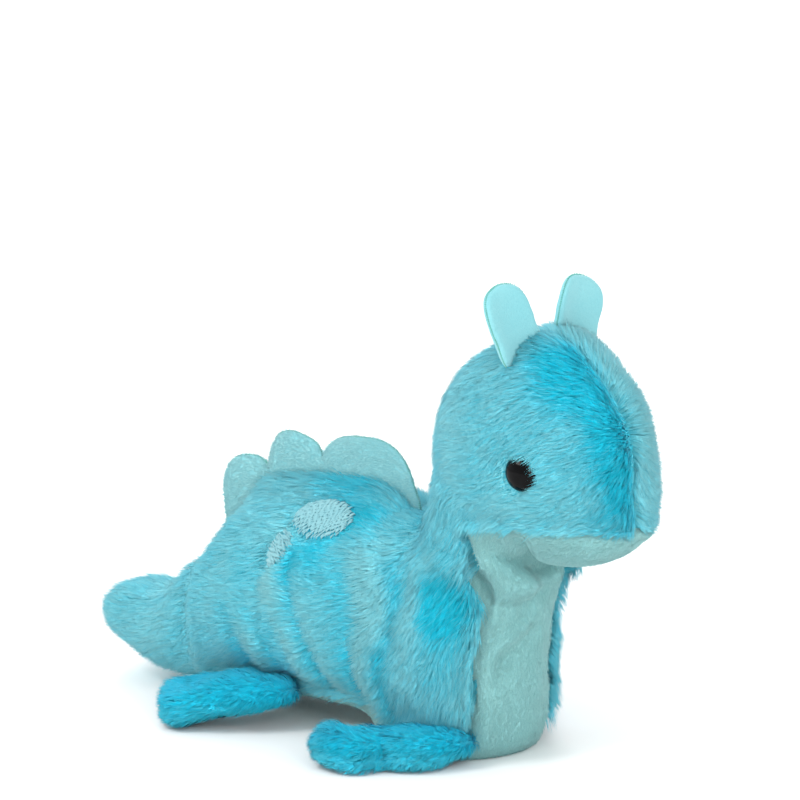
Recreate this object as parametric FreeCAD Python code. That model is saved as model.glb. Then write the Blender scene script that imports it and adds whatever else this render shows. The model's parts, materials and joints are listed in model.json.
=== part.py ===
import FreeCAD, Part
import math
import os

# A small stuffed long-necked dinosaur lying on its belly, 165 mm from tail to nose.
#
# Frame: millimetres, +X towards the nose, +Y towards the animal's left side, +Z up.
# The origin lies on the ground, under the middle of the whole toy.
# The animal is the same on both sides of the plane Y = 0.
#
# The skin is cut from fur fabric for the sides, and short-pile fabric for the throat
# and belly. Under it lies polyester stuffing, with a pouch of pellets low in the belly.

Vector = FreeCAD.Vector
X_AXIS = Vector(1, 0, 0)
Y_AXIS = Vector(0, 1, 0)
Z_AXIS = Vector(0, 0, 1)

# Cloth and seams
FUR_THICKNESS = 2.5        # fur fabric, backing and pile together
FLIPPER_SKIN = 1.6         # fur fabric on the flippers, pulled tight
JOINT_GAP = 0.5            # free space between two parts that move
ROOT_GAP = 0.9             # free space between the body and a sewn-on limb
FILL_GAP = 0.15            # slack between the skin and the stuffing
HALF_SPACE = 200.0         # reach of the boxes that cut the animal into parts
RING_POINTS = 12           # points of each cross-section

# Body, tail to breast: x, half width, bottom, top
BODY_SECTIONS = [
    (-82.0, 7.0, 9.5, 20.0),
    (-79.0, 10.8, 7.0, 22.0),
    (-70.0, 13.4, 4.0, 23.6),
    (-60.0, 15.2, 2.4, 26.3),
    (-52.0, 17.6, 1.6, 33.0),
    (-44.0, 20.5, 0.8, 44.0),
    (-32.0, 23.0, 0.5, 52.6),
    (-18.0, 24.2, 1.0, 56.0),
    (-2.0, 24.4, 0.8, 57.6),
    (12.0, 23.6, -0.5, 57.6),
    (22.0, 21.0, 1.5, 52.5),
    (30.0, 14.0, 8.0, 42.0),
]
BODY_SQUARENESS = 2.1

# Breast and neck, a column that rises from the ground: z, middle x, half length, half width
NECK_SECTIONS = [
    (-2.0, 24.0, 17.0, 17.0),
    (5.0, 26.0, 20.0, 21.0),
    (16.0, 27.5, 20.5, 24.0),
    (28.0, 28.5, 19.5, 23.5),
    (38.0, 31.0, 18.0, 21.0),
    (48.0, 34.5, 16.5, 18.5),
    (58.0, 37.5, 17.0, 18.0),
    (68.0, 41.0, 18.0, 19.0),
]
NECK_SQUARENESS = 2.1

# Head, back to nose: x, half width, bottom, top
HEAD_SECTIONS = [
    (24.0, 7.0, 66.0, 82.0),
    (26.5, 12.5, 60.0, 90.0),
    (33.0, 18.0, 55.0, 98.0),
    (42.0, 22.0, 52.0, 104.3),
    (53.0, 23.2, 50.5, 107.5),
    (62.5, 21.8, 50.3, 104.5),
    (70.0, 18.6, 51.8, 98.8),
    (75.5, 14.6, 54.5, 92.8),
    (79.5, 9.8, 58.0, 86.0),
    (81.5, 5.6, 62.5, 79.0),
]
HEAD_SQUARENESS = 2.1

# Joints of the body
NECK_PIVOT = Vector(32, 0, 42)         # middle of the seam between breast and neck
NECK_TILT = 36.87                      # the neck's axis leans this far forwards
NOD_PIVOT = Vector(36, 0, 59)          # middle of the seam between neck and head
NOD_SLOPE = -26.57                     # the head's lower face, falling towards the throat
NOD_FORWARD = 12.0
NOD_BACK = 8.0
NOD_MARGIN = 1.0                       # degrees of free space past each limit
TAIL_PIVOT_X = -52.0
TAIL_SWING = 20.0
TAIL_MARGIN = 1.5                      # degrees of free space past the limit

# Pale panels of throat and belly
PANEL_HALF_WIDTH = 16.5
BELLY_PANEL_OUTLINE = [
    (-46, -5), (-46, 8), (-30, 5), (22, 6), (35, 12), (38, 24), (38, 70), (70, 70), (70, -5),
]
THROAT_PANEL_OUTLINE = [(39, -5), (39, 80), (70, 80), (70, -5)]
CHIN_PANEL_OUTLINE = [(39, 20), (41, 55), (46, 60.5), (90, 60.5), (90, 20)]

# Pellet pouch low in the belly
POUCH_CENTRE = Vector(-4, 0, 15)
POUCH_HALF_SIZE = Vector(32, 15, 9.5)
POUCH_CLOTH = 0.8

# Eyes: a domed button on a stem, held by a washer inside the head
EYE_PLACE = Vector(60.8, 21.1, 75.5)
EYE_DIRECTION = Vector(0.14, 1, 0.03)
EYE_RADIUS = 4.6
EYE_HEIGHT = 3.4
EYE_SUNK = 1.4                         # the dome's rim sits this deep in the pile
STEM_RADIUS = 1.6
STEM_LENGTH = 9.0
WASHER_RADIUS = 4.2
WASHER_THICKNESS = 1.2
WASHER_DEPTH = 4.5                     # rim of the dome to the washer
WASHER_CLEARANCE = 0.05                # round the stem

# Horns: flat, round-ended, two layers
HORN_PLACE = Vector(50.3, 11.2, 106.4)
HORN_SPLAY = 16.0
HORN_HEIGHT = 12.6
HORN_BASE_WIDTH = 11.0
HORN_WIDTH = 12.5
HORN_LAYER = 1.7

# Crest along the back: three scallops of two thin layers
CREST_GAP = 1.8                        # free space under the crest, which flops to each side
CREST_LAYER = 1.2
CREST_STATIONS = [-48.0, -43.0, -36.5, -29.0, -20.0, -10.0, 0.0, 11.5]
CREST_TOPS = [(-4.5, 70.2), (-26.0, 68.2), (-45.2, 57.0)]
CREST_NOTCHES = [(-17.5, 63.5), (-34.5, 58.4)]

# Embroidered spots: middle of the spot, long and short radius, turn of the long axis
SPOT_FACING_HEIGHT = 34.0              # the spots face away from a line at this height in the body
SPOT_POST_START = 6.0                  # the cutting post starts this far under the surface
SPOT_POST_LENGTH = 14.0
SPOTS = {
    "spot_large": (Vector(-6.3, 13.5, 53.0), 9.0, 5.8, -4.0),
    "spot_small": (Vector(-15.0, 20.0, 44.6), 5.0, 2.8, 78.0),
}

# Flippers: flat paddles, swept back, from the middle of the root to the tip. Each hangs on a
# hinge line at the top of its root seam, and all of it lies outside that line. All are given
# for the left side. The right front flipper stands further out than the left one.
FRONT_FLIPPER_OUT = {
    "root": Vector(38, 16.0, 5.2), "tip": Vector(11.5, 44.0, 5.2),
    "half_width": 10.2, "half_thickness": 4.6,
    "hinge": Vector(35, 22.4, 9.8), "hinge_out": Vector(0.49, 0.87, 0),
}
FRONT_FLIPPER_BACK = {
    "root": Vector(29, 15.0, 5.2), "tip": Vector(-4.0, 43.4, 5.2),
    "half_width": 10.2, "half_thickness": 4.6,
    "hinge": Vector(24, 24.4, 9.8), "hinge_out": Vector(0.1, 0.995, 0),
}
REAR_FLIPPER = {
    "root": Vector(-13, 16.0, 10.6), "tip": Vector(-42, 38.5, 5.2),
    "half_width": 9.6, "half_thickness": 4.3,
    "hinge": Vector(-20, 23.4, 13.6), "hinge_out": Vector(0, 1, 0),
}
FLIPPER_SQUARENESS = 2.7
FLIPPER_ROUNDING = 0.8                 # rounding of the edge, as a share of half the thickness


def superellipse(angle, squareness):
    """Unit closed curve: 2 gives a circle, more gives a rounder square."""
    across = math.copysign(abs(math.cos(angle)) ** (2.0 / squareness), math.cos(angle))
    along = math.copysign(abs(math.sin(angle)) ** (2.0 / squareness), math.sin(angle))
    return across, along


def ring(centre, first, second, half_first, half_second, squareness):
    """One closed cross-section about centre, in the plane of first and second."""
    points = []
    for step in range(RING_POINTS):
        across, along = superellipse(2.0 * math.pi * step / RING_POINTS, squareness)
        points.append(centre + first * (across * half_first) + second * (along * half_second))
    shares = [step / RING_POINTS for step in range(RING_POINTS + 1)]
    curve = Part.BSplineCurve()
    curve.interpolate(Points=points, PeriodicFlag=True, Parameters=shares)
    return Part.Wire([curve.toShape()])


def shorten(value, low, high, inset):
    """Move a station towards the middle, so that both ends draw in by the inset."""
    middle = (low + high) / 2.0
    return middle + (value - middle) * (1.0 - 2.0 * inset / (high - low))


def loft_along_x(sections, squareness, inset):
    first, last = sections[0][0], sections[-1][0]
    rings = []
    for x, half_width, bottom, top in sections:
        centre = Vector(shorten(x, first, last, inset), 0, (bottom + top) / 2.0)
        half_height = (top - bottom) / 2.0 - inset
        rings.append(ring(centre, Y_AXIS, Z_AXIS, half_width - inset, half_height, squareness))
    return Part.makeLoft(rings, True, False)


def loft_neck(inset):
    first, last = NECK_SECTIONS[0][0], NECK_SECTIONS[-1][0]
    rings = []
    for z, x, half_length, half_width in NECK_SECTIONS:
        centre = Vector(x, 0, shorten(z, first, last, inset))
        rings.append(
            ring(centre, X_AXIS, Y_AXIS, half_length - inset, half_width - inset, NECK_SQUARENESS)
        )
    return Part.makeLoft(rings, True, False)


def block(low, high):
    size = high - low
    return Part.makeBox(size.x, size.y, size.z, low)


def whole_animal(inset):
    """Body, neck and head in one, drawn in by the inset, standing flat on the ground."""
    body = loft_along_x(BODY_SECTIONS, BODY_SQUARENESS, inset)
    head = loft_along_x(HEAD_SECTIONS, HEAD_SQUARENESS, inset)
    animal = body.fuse([loft_neck(inset), head])
    ground = max(inset, 0.0)
    above = block(Vector(-HALF_SPACE, -HALF_SPACE, ground), Vector(HALF_SPACE, HALF_SPACE, HALF_SPACE))
    return animal.common(above)


def prism_across(outline, half_width):
    """Solid with an outline in X and Z, as wide as twice half_width across Y."""
    corners = [Vector(x, -half_width, z) for x, z in outline]
    face = Part.Face(Part.makePolygon(corners + corners[:1]))
    return face.extrude(Y_AXIS * (2.0 * half_width))


def direction_xz(degrees):
    return Vector(math.cos(math.radians(degrees)), 0, math.sin(math.radians(degrees)))


def wedge_above(pivot, front_degrees, back_degrees, lift):
    """Everything above two half planes that meet in a line across Y through the pivot."""
    front = direction_xz(front_degrees)
    back = direction_xz(back_degrees)
    apex = pivot + Z_AXIS * lift
    corners = [
        apex,
        apex + front * HALF_SPACE,
        apex + front * HALF_SPACE + Z_AXIS * HALF_SPACE,
        apex + back * HALF_SPACE + Z_AXIS * HALF_SPACE,
        apex + back * HALF_SPACE,
    ]
    return prism_across([(corner.x, corner.z) for corner in corners], HALF_SPACE)


def neck_and_head_regions():
    """Cutting solids: all above the breast seam, below the nod wedge, and above the head seam."""
    half_gap = JOINT_GAP / 2.0
    seam = -NECK_TILT
    lift = half_gap / math.cos(math.radians(NECK_TILT))
    above_breast = wedge_above(NECK_PIVOT, seam, seam + 180.0, lift)
    above_breast_low = wedge_above(NECK_PIVOT, seam, seam + 180.0, -lift)
    nod_lift = half_gap / math.cos(math.radians(NOD_SLOPE))
    head = wedge_above(NOD_PIVOT, NOD_SLOPE, NOD_SLOPE + 180.0, nod_lift)
    above_neck = wedge_above(
        NOD_PIVOT,
        NOD_SLOPE - NOD_FORWARD - NOD_MARGIN,
        NOD_SLOPE + 180.0 + NOD_BACK + NOD_MARGIN,
        -nod_lift,
    )
    return above_breast, above_breast_low, above_neck, head


def tail_region():
    low = Vector(-HALF_SPACE, -HALF_SPACE, -HALF_SPACE)
    return block(low, Vector(TAIL_PIVOT_X - JOINT_GAP / 2.0, HALF_SPACE, HALF_SPACE))


def before_tail_region():
    """Everything in front of a vertical wedge that opens for the tail's swing."""
    slope = math.tan(math.radians(TAIL_SWING + TAIL_MARGIN))
    apex = Vector(TAIL_PIVOT_X + JOINT_GAP / 2.0, 0, -HALF_SPACE)
    corners = [
        apex,
        apex + Vector(HALF_SPACE * slope, HALF_SPACE, 0),
        apex + Vector(2.0 * HALF_SPACE, HALF_SPACE, 0),
        apex + Vector(2.0 * HALF_SPACE, -HALF_SPACE, 0),
        apex + Vector(HALF_SPACE * slope, -HALF_SPACE, 0),
    ]
    face = Part.Face(Part.makePolygon(corners + corners[:1]))
    return face.extrude(Z_AXIS * (2.0 * HALF_SPACE))


def body_regions(animal):
    """The torso, neck, head and tail of a whole animal, with their joint gaps."""
    above_breast, above_breast_low, above_neck, head_space = neck_and_head_regions()
    return {
        "torso": animal.cut(above_breast_low).common(before_tail_region()),
        "neck": animal.common(above_breast).cut(above_neck),
        "head": animal.common(head_space),
        "tail": animal.common(tail_region()),
    }


def left_half(shape):
    low = Vector(-HALF_SPACE, 0, -HALF_SPACE)
    return shape.common(block(low, Vector(HALF_SPACE, HALF_SPACE, HALF_SPACE)))


def mirrored(shape):
    """The same piece on the animal's other side."""
    return shape.mirror(Vector(0, 0, 0), Y_AXIS)


def split_skin(shell, outline, half_width):
    """Cut a skin into its pale panel and its left fur side."""
    panel_space = prism_across(outline, half_width)
    return shell.common(panel_space), left_half(shell.cut(panel_space))


def ellipsoid(centre, half_size):
    ball = Part.makeSphere(1.0)
    scale = FreeCAD.Matrix()
    scale.scale(half_size.x, half_size.y, half_size.z)
    shape = ball.transformGeometry(scale)
    shape.translate(centre)
    return shape


def pellet_pouch():
    """A closed cloth pouch and the mass of pellets that fills it."""
    cloth = Vector(POUCH_CLOTH, POUCH_CLOTH, POUCH_CLOTH)
    outer = ellipsoid(POUCH_CENTRE, POUCH_HALF_SIZE)
    inner = ellipsoid(POUCH_CENTRE, POUCH_HALF_SIZE - cloth)
    return outer.cut(inner), inner, outer


def spot_tool(place, long_radius, short_radius, turn):
    """An elliptic post through the skin, square to the animal's side."""
    outwards = Vector(0, place.y, place.z - SPOT_FACING_HEIGHT)
    outwards.normalize()
    up = outwards.cross(X_AXIS)
    if up.z < 0:
        up = up * -1.0
    along = X_AXIS * math.cos(math.radians(turn)) + up * math.sin(math.radians(turn))
    across = outwards.cross(along)
    start = place - outwards * SPOT_POST_START
    outline = ring(start, along, across, long_radius, short_radius, 2.0)
    return Part.Face(outline).extrude(outwards * SPOT_POST_LENGTH)


def eye_pieces():
    """The left eye's button (dome and stem) and its washer."""
    outwards = Vector(EYE_DIRECTION)
    outwards.normalize()
    rim = EYE_PLACE - outwards * EYE_SUNK
    bulge = (EYE_RADIUS ** 2 + EYE_HEIGHT ** 2) / (2.0 * EYE_HEIGHT)
    ball = Part.makeSphere(bulge, rim + outwards * (EYE_HEIGHT - bulge))
    cap_space = Part.makeCylinder(EYE_RADIUS + 1.0, EYE_HEIGHT + 1.0, rim, outwards)
    dome = ball.common(cap_space)
    stem = Part.makeCylinder(STEM_RADIUS, STEM_LENGTH, rim - outwards * STEM_LENGTH, outwards)
    button = dome.fuse(stem)
    washer_foot = rim - outwards * (WASHER_DEPTH + WASHER_THICKNESS)
    disc = Part.makeCylinder(WASHER_RADIUS, WASHER_THICKNESS, washer_foot, outwards)
    bore = Part.makeCylinder(STEM_RADIUS + WASHER_CLEARANCE, WASHER_THICKNESS, washer_foot, outwards)
    return button, disc.cut(bore), disc


def horn_layers():
    """The left horn's front and back layer: straight sides that widen, and a round end."""
    half_base = HORN_BASE_WIDTH / 2.0
    half_top = HORN_WIDTH / 2.0
    shoulder = HORN_HEIGHT - half_top
    corner = Vector(0, half_base, 0)
    corner_top = Vector(0, half_top, shoulder)
    sides = [
        Part.LineSegment(Vector(0, -half_base, 0), corner).toShape(),
        Part.LineSegment(corner, corner_top).toShape(),
        Part.Arc(corner_top, Vector(0, 0, HORN_HEIGHT), Vector(0, -half_top, shoulder)).toShape(),
        Part.LineSegment(Vector(0, -half_top, shoulder), Vector(0, -half_base, 0)).toShape(),
    ]
    face = Part.Face(Part.Wire(sides))
    layers = []
    for thickness in (HORN_LAYER, -HORN_LAYER):
        layer = face.extrude(X_AXIS * thickness)
        layer.rotate(Vector(0, 0, 0), X_AXIS, -HORN_SPLAY)
        layer.translate(HORN_PLACE)
        layers.append(layer)
    return layers


def back_line_height(x):
    """Height of the middle of the back, between the body's cross-sections."""
    for behind, ahead in zip(BODY_SECTIONS, BODY_SECTIONS[1:]):
        if behind[0] <= x <= ahead[0]:
            share = (x - behind[0]) / (ahead[0] - behind[0])
            return behind[3] + share * (ahead[3] - behind[3])
    raise ValueError("no back at this place")


def crest_layers():
    """The crest's left and right layer: a strip on the back line, topped by three arcs."""
    base = Part.BSplineCurve()
    base.interpolate([Vector(x, 0, back_line_height(x) + CREST_GAP) for x in CREST_STATIONS])
    front_top, middle_top, rear_top = [Vector(x, 0, z) for x, z in CREST_TOPS]
    front_notch, rear_notch = [Vector(x, 0, z) for x, z in CREST_NOTCHES]
    edges = [
        base.toShape(),
        Part.Arc(base.EndPoint, front_top, front_notch).toShape(),
        Part.Arc(front_notch, middle_top, rear_notch).toShape(),
        Part.Arc(rear_notch, rear_top, base.StartPoint).toShape(),
    ]
    face = Part.Face(Part.Wire(edges))
    return face.extrude(Y_AXIS * CREST_LAYER), face.extrude(Y_AXIS * -CREST_LAYER)


def flipper_frame(plan):
    """Middle of the paddle, its direction in plan, the way across it, its length and its slope."""
    way = plan["tip"] - plan["root"]
    length = math.hypot(way.x, way.y)
    along = Vector(way.x / length, way.y / length, 0)
    across = Z_AXIS.cross(along)
    slope = -math.degrees(math.atan2(way.z, length))
    return (plan["root"] + plan["tip"]) / 2.0, along, across, length, slope


def paddle(plan, inset):
    """A flat pad with a rounded edge, drawn in by the inset and sloped from root to tip."""
    middle, along, across, length, slope = flipper_frame(plan)
    half_thickness = plan["half_thickness"] - inset
    foot = middle - Z_AXIS * half_thickness
    half_width = plan["half_width"] - inset
    outline = ring(foot, along, across, length / 2.0 - inset, half_width, FLIPPER_SQUARENESS)
    plate = Part.Face(outline).extrude(Z_AXIS * (2.0 * half_thickness))
    rims = [edge for edge in plate.Edges if abs(edge.BoundBox.ZLength) < half_thickness]
    pad = plate.makeFillet(FLIPPER_ROUNDING * half_thickness, rims)
    pad.rotate(middle, across, slope)
    return pad


def above_paddle_middle(plan):
    middle, along, across, length, slope = flipper_frame(plan)
    corner = middle - Vector(HALF_SPACE, HALF_SPACE, 0)
    space = block(corner, middle + Vector(HALF_SPACE, HALF_SPACE, HALF_SPACE))
    space.rotate(middle, across, slope)
    return space


def outside_hinge(plan):
    """All that lies on the outer side of the upright plane through the hinge line."""
    turn = math.degrees(math.atan2(plan["hinge_out"].y, plan["hinge_out"].x)) - 90.0
    low = Vector(plan["hinge"].x - HALF_SPACE, plan["hinge"].y, -HALF_SPACE)
    space = block(low, low + Vector(2.0 * HALF_SPACE, HALF_SPACE, 2.0 * HALF_SPACE))
    space.rotate(plan["hinge"], Z_AXIS, turn)
    return space


def flipper_pieces(plan, body_space):
    """The left flipper's upper layer, lower layer and stuffing, trimmed to the body's side."""
    free_space = outside_hinge(plan).cut(body_space)
    outer = paddle(plan, 0.0).common(free_space)
    inner = paddle(plan, FLIPPER_SKIN).common(free_space)
    skin = outer.cut(inner)
    upper_space = above_paddle_middle(plan)
    return skin.common(upper_space), skin.cut(upper_space), inner


def save(node, shape):
    """Write one piece, which has to be a single closed solid."""
    solids = shape.Solids
    if len(solids) != 1:
        print(node, "has", len(solids), "solids:", [round(solid.Volume, 2) for solid in solids])
        solids = sorted(solids, key=lambda solid: -solid.Volume)
    solid = solids[0]
    if not solid.isValid():
        print(node, "is not valid")
    solid.exportStep("parts/" + node + ".step")
    print(node, round(solid.Volume, 1), [round(value, 1) for value in (
        solid.BoundBox.XMin, solid.BoundBox.XMax, solid.BoundBox.YMin,
        solid.BoundBox.YMax, solid.BoundBox.ZMin, solid.BoundBox.ZMax)])


def save_pair(name, ending, left_piece):
    save(name + "_left" + ending, left_piece)
    save(name + "_right" + ending, mirrored(left_piece))


def make_torso(outer, inner, stuffing):
    panel, side = split_skin(outer.cut(inner), BELLY_PANEL_OUTLINE, PANEL_HALF_WIDTH)
    save("belly_panel", panel)
    for name, (place, long_radius, short_radius, turn) in SPOTS.items():
        tool = spot_tool(place, long_radius, short_radius, turn)
        save_pair(name, "", side.common(tool))
        side = side.cut(tool)
    save_pair("torso_skin", "", side)
    pouch, pellets, pouch_space = pellet_pouch()
    save("torso_fill", stuffing.cut(pouch_space))
    save("pellet_pouch", pouch)
    save("pellets", pellets)


def make_neck(outer, inner, stuffing):
    panel, side = split_skin(outer.cut(inner), THROAT_PANEL_OUTLINE, PANEL_HALF_WIDTH)
    save("throat_panel", panel)
    save_pair("neck_skin", "", side)
    save("neck_fill", stuffing)


def make_head(outer, inner, stuffing):
    button, washer, washer_space = eye_pieces()
    panel, side = split_skin(outer.cut(inner), CHIN_PANEL_OUTLINE, HALF_SPACE)
    save("chin_panel", panel)
    save_pair("head_skin", "", side.cut(button))
    fill = stuffing
    for space in (button, washer_space, mirrored(button), mirrored(washer_space)):
        fill = fill.cut(space)
    save("head_fill", fill)
    save_pair("eye", "", button)
    save_pair("eye_washer", "", washer)


def make_horns():
    front, back = horn_layers()
    save_pair("horn", "_front", front)
    save_pair("horn", "_back", back)


def make_crest():
    left, right = crest_layers()
    save("crest_left_layer", left)
    save("crest_right_layer", right)


def make_tail(outer, inner, stuffing):
    skin = left_half(outer.cut(inner))
    save_pair("tail_skin", "", skin)
    save("tail_fill", stuffing)


def make_flipper(name, plan, body_space, on_right):
    endings = ("_upper", "_lower", "_fill")
    for ending, piece in zip(endings, flipper_pieces(plan, body_space)):
        save(name + ending, mirrored(piece) if on_right else piece)


def make_flippers(body_space):
    make_flipper("front_flipper_left", FRONT_FLIPPER_BACK, body_space, False)
    make_flipper("front_flipper_right", FRONT_FLIPPER_OUT, body_space, True)
    make_flipper("rear_flipper_left", REAR_FLIPPER, body_space, False)
    make_flipper("rear_flipper_right", REAR_FLIPPER, body_space, True)


def main():
    os.makedirs("parts", exist_ok=True)
    outer = body_regions(whole_animal(0.0))
    inner = body_regions(whole_animal(FUR_THICKNESS))
    stuffing = body_regions(whole_animal(FUR_THICKNESS + FILL_GAP))
    make_torso(outer["torso"], inner["torso"], stuffing["torso"])
    make_neck(outer["neck"], inner["neck"], stuffing["neck"])
    make_head(outer["head"], inner["head"], stuffing["head"])
    make_tail(outer["tail"], inner["tail"], stuffing["tail"])
    make_horns()
    make_crest()
    make_flippers(whole_animal(-ROOT_GAP))


main()
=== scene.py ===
import json
import math

import bmesh
import bpy
import numpy as np
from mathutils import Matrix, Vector


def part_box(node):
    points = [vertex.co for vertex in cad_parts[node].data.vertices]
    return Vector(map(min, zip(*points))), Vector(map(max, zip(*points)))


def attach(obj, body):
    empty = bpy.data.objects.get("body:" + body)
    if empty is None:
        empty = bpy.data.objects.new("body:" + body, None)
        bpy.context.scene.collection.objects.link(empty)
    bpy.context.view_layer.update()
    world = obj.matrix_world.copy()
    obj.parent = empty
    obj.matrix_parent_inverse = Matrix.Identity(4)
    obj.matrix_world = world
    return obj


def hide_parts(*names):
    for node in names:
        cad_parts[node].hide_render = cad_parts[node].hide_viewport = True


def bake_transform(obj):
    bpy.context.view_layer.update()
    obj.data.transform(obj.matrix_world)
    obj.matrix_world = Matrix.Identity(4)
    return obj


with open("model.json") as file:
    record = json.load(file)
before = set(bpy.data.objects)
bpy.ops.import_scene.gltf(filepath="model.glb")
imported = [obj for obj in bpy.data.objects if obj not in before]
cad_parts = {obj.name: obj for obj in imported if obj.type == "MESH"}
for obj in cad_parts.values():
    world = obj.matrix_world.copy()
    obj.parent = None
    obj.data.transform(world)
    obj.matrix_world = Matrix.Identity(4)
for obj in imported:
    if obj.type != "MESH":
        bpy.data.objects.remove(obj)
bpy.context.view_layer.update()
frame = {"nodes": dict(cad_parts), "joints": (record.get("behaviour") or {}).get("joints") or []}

MM = 0.001
SEED = 20
FUR_LENGTH = 5.0 * MM
FUR_SINK = 2.3 * MM            # the cloth under the pile lies this far inside the CAD skin
FUR_DENSITY = 13.0   # hairs on a square millimetre
FUR_WIDTH = 0.20 * MM
HAIR_BEND = 0.42               # each hair bends at this share of its length
SKIN_VOXEL = 1.15 * MM
BODY_SMOOTHING = 14
TAIL_SMOOTHING = 60
CLOTH_SWELL = 0.35 * MM        # makes up for what the smoothing takes off
PUFF_FRAMES = 14
PUFF_CAP = 1.2 * MM
SEAM_MOVE = 0.9 * MM
NAP_LENGTH = 1.0 * MM
NAP_WIDTH = 0.14 * MM
NAP_DENSITY = 9.0
FLOOR_GAP = 0.1 * MM           # nothing dips below this

X = np.array((1.0, 0.0, 0.0))
Y = np.array((0.0, 1.0, 0.0))
Z = np.array((0.0, 0.0, 1.0))
OPEN_SIDE = np.array((0.8, -0.3, 0.5))   # where most of the light comes from

JOINTS = {joint["name"]: joint for joint in frame["joints"]}
SIDES = (("right", -1.0), ("left", 1.0))


def place_of(name):
    return np.array(JOINTS[name]["pos_m"], float)


def axis_of(name):
    return np.array(JOINTS[name]["axis"], float)


def box_centre(node):
    low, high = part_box(node)
    return (np.array(low) + np.array(high)) / 2


NECK, NECK_AXIS = place_of("neck_turn"), axis_of("neck_turn")


# ---- arrays and fields

def unit(vectors):
    length = np.linalg.norm(vectors, axis=-1, keepdims=True)
    return vectors / np.maximum(length, 1e-12)


def upwards(way):
    return way if way[2] > 0 else -way


def column(values):
    return np.reshape(values, (-1, 1))


def ease(value, low, high):
    share = np.clip((value - low) / (high - low), 0.0, 1.0)
    return share * share * (3.0 - 2.0 * share)


def fade(value, low, high):
    return 1.0 - ease(value, low, high)


def band(value, start, full, slack, end):
    """1 from full to slack, falling smoothly to 0 at start and end."""
    return ease(value, start, full) * fade(value, slack, end)


def bell(value, width):
    return np.exp(-(value / width) ** 2)


def hash_noise(cells):
    """One repeatable number from 0 to 1 for each whole-numbered cell."""
    mixed = cells[..., 0] * 374761393 + cells[..., 1] * 668265263 + cells[..., 2] * 2147483647
    mixed = (mixed ^ (mixed >> 13)) * 1274126177
    return ((mixed ^ (mixed >> 16)) & 0xFFFF) / 65535.0


def noise(places, size, layer=0):
    """Smooth value noise from -1 to 1, with blobs about this size."""
    scaled = places / size + 57.0 * (layer + 1)
    cell = np.floor(scaled).astype(np.int64)
    part = scaled - cell
    part = part * part * (3.0 - 2.0 * part)
    total = np.zeros(len(places))
    for corner in range(8):
        offset = np.array(((corner >> 2) & 1, (corner >> 1) & 1, corner & 1))
        weight = np.prod(np.where(offset, part, 1.0 - part), axis=1)
        total += weight * hash_noise(cell + offset)
    return total * 2.0 - 1.0


def blob(places, centre, radii):
    """1 at the centre, falling smoothly to 0 outside an ellipsoid, in millimetres."""
    reach = np.linalg.norm((places / MM - np.array(centre)) / np.array(radii), axis=1)
    return fade(reach, 0.0, 1.0)


# ---- meshes

def add_object(name, data):
    thing = bpy.data.objects.new(name, data)
    bpy.context.scene.collection.objects.link(thing)
    return thing


def new_mesh(name, points, faces):
    mesh = bpy.data.meshes.new(name)
    mesh.from_pydata([tuple(point) for point in points], [], faces)
    return mesh


def mesh_object(name, points, faces, material, normals=None):
    mesh = new_mesh(name, points, faces)
    mesh.update()
    piece = add_object(name, mesh)
    mesh.materials.append(MATERIALS[material])
    mesh.shade_smooth()
    if normals is not None:
        mesh.normals_split_custom_set_from_vertices([tuple(normal) for normal in normals])
    return piece


def mesh_arrays(mesh):
    points = np.empty(len(mesh.vertices) * 3, np.float32)
    mesh.vertices.foreach_get("co", points)
    faces = [tuple(polygon.vertices) for polygon in mesh.polygons]
    return points.reshape(-1, 3).astype(float), faces


def triangles_of(faces):
    """The faces as triangles, fanned from each face's first corner."""
    out = []
    for face in faces:
        for step in range(1, len(face) - 1):
            out.append((face[0], face[step], face[step + 1]))
    return np.array(out, int)


def point_normals(points, triangles):
    first = points[triangles[:, 1]] - points[triangles[:, 0]]
    second = points[triangles[:, 2]] - points[triangles[:, 0]]
    across = np.cross(first, second)
    normals = np.zeros_like(points)
    for corner in range(3):
        np.add.at(normals, triangles[:, corner], across)
    return unit(normals)


def neighbour_pairs(faces):
    """Pairs of joined points, each pair both ways."""
    pairs = set()
    for face in faces:
        for start, end in zip(face, face[1:] + face[:1]):
            pairs.update(((start, end), (end, start)))
    return np.array(sorted(pairs), int)


def relax(points, pairs, times, weight=0.5):
    """Draws each point towards the middle of its neighbours."""
    count = column(np.bincount(pairs[:, 0], minlength=len(points)))
    for _ in range(times):
        total = np.zeros_like(points)
        np.add.at(total, pairs[:, 0], points[pairs[:, 1]])
        points = points + weight * (total / np.maximum(count, 1) - points)
    return points


def ball(centre, radii, degrees=0.0):
    """A closed ball as (points, faces), with radii in millimetres, turned about Y."""
    form = bmesh.new()
    bmesh.ops.create_icosphere(form, subdivisions=3, radius=1.0)
    x, y, z = (np.array([vert.co for vert in form.verts]) * (np.array(radii) * MM)).T
    faces = [tuple(vert.index for vert in face.verts) for face in form.faces]
    form.free()
    cos, sin = math.cos(math.radians(degrees)), math.sin(math.radians(degrees))
    return np.stack((x * cos + z * sin, y, z * cos - x * sin), 1) + np.array(centre), faces


def ring_faces(base, rings, around):
    """Quads between rings of points that follow one another from this index."""
    faces = []
    for level in range(rings - 1):
        start = base + level * around
        for step in range(around):
            a, b = start + step, start + (step + 1) % around
            faces.append((a, b, b + around, a + around))
    return faces


def add_tube(points, faces, rings, across, facing, around):
    """Adds a tube through rings, each a (centre, radius); gives its first and last point's index."""
    base = len(points)
    for centre, radius in rings:
        for step in range(around):
            turn = 2 * math.pi * step / around
            points.append(centre + (across * math.cos(turn) + facing * math.sin(turn)) * radius)
    faces.extend(ring_faces(base, len(rings), around))
    return base, len(points) - 1


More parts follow.
